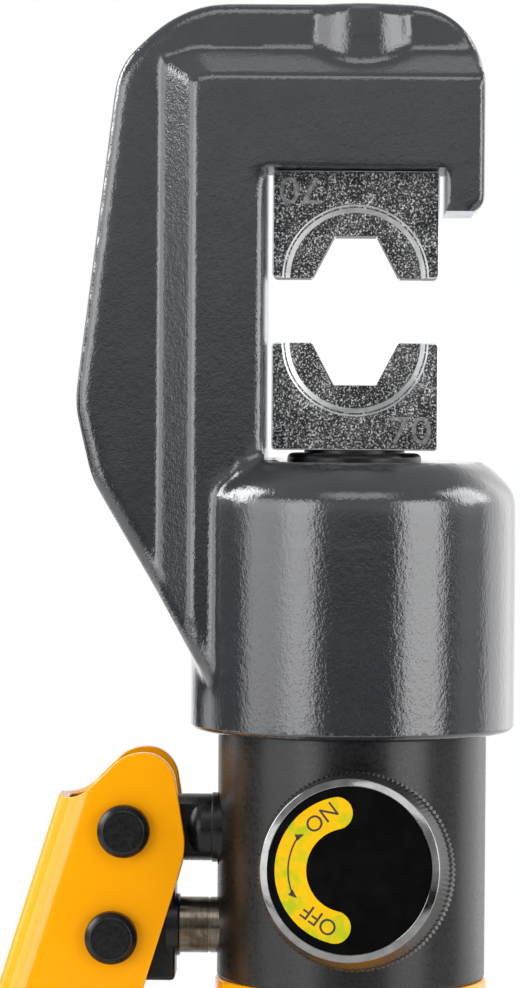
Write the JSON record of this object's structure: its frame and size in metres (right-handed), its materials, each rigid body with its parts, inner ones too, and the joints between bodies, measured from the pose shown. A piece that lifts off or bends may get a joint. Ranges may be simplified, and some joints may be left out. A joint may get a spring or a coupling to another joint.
{
  "type": "hydraulic crimping tool",
  "caption": "Hand hydraulic crimping tool: C-shaped head with half-hexagon dies, lever pump with ram and return spring, release knob and two gripped handles.",
  "frame": {"origin": "centre of the flat end of the fixed handle, on the ram axis", "axes": "+Z along the ram towards the head, +X towards the open side of the head, -Y towards the release knob"},
  "size_m": [0.1316, 0.0682, 0.31],
  "materials": {
    "head_paint": "gloss slate grey enamel on forged steel",
    "die_steel": "blasted and zinc plated",
    "black_oxide": "black oxide",
    "body_black": "satin black oxide",
    "knob_black": "black, with a bright bevel",
    "plate_gloss": "gloss black",
    "amber_paint": "gloss amber enamel",
    "grip_rubber": "matt ribbed rubber",
    "seal_rubber": "nitrile rubber",
    "seal_plastic": "plain white plastic",
    "bright_steel": "bright ground steel",
    "plug_metal": "turned",
    "valve_brass": "turned"
  },
  "bodies": {
    "frame": {"head_frame": "head_paint", "die_lock_screw": "black_oxide", "die_lock_spring": "bright_steel", "die_lock_ball": "bright_steel", "upper_die": "die_steel", "ram_wiper": "seal_rubber", "return_rod": "bright_steel", "return_spring": "bright_steel", "pump_body": "body_black", "body_seal": "seal_rubber", "pivot_lug": "black_oxide", "plunger_seal": "seal_rubber", "suction_ball": "bright_steel", "suction_spring": "bright_steel", "suction_seat": "valve_brass", "delivery_ball": "bright_steel", "delivery_spring": "bright_steel", "delivery_plug": "valve_brass", "relief_ball": "bright_steel", "relief_spring": "bright_steel", "relief_screw": "black_oxide", "release_ball": "bright_steel", "reservoir_tube": "amber_paint", "oil_bladder": "seal_rubber", "bladder_clamp": "bright_steel", "fixed_grip": "grip_rubber", "end_plug": "plug_metal", "plug_seal": "seal_rubber"},
    "ram": {"ram": "black_oxide", "die_pin": "bright_steel", "piston_seal": "seal_rubber", "backup_ring": "seal_plastic", "spring_retainer": "bright_steel", "lower_die": "die_steel"},
    "plunger": {"plunger": "black_oxide"},
    "lever": {"handle_yoke": "amber_paint", "handle_grip": "grip_rubber", "pivot_pin": "black_oxide", "link_pin": "black_oxide", "pin_clips": "bright_steel"},
    "knob": {"release_knob": "knob_black", "knob_plate": "plate_gloss", "knob_screw": "black_oxide", "valve_spindle": "bright_steel", "spindle_seal": "seal_rubber"}
  },
  "joints": [
    {"name": "lever_swing", "type": "hinge", "parent": "frame", "child": "lever", "pos_m": [-0.0405, 0, 0.163], "axis": [0, 1, 0], "range_deg": [-13, 38]},
    {"name": "plunger_slide", "type": "slide", "parent": "frame", "child": "plunger", "axis": [-1, 0, 0], "range_m": [-0.0041, 0.0118]},
    {"name": "ram_rise", "type": "slide", "parent": "frame", "child": "ram", "axis": [0, 0, 1], "range_m": [0, 0.0114], "stiffness_N_per_m": 6000, "springref_m": -0.004, "deforming": ["return_spring"]},
    {"name": "knob_turn", "type": "hinge", "parent": "frame", "child": "knob", "pos_m": [-0.0004, -0.0355, 0.1595], "axis": [-0.189, -0.9721, 0.1392], "range_deg": [0, 150]}
  ],
  "couplings": [
    {"joint": "plunger_slide", "follows": "lever_swing", "m_per_rad": 0.0176}
  ]
}
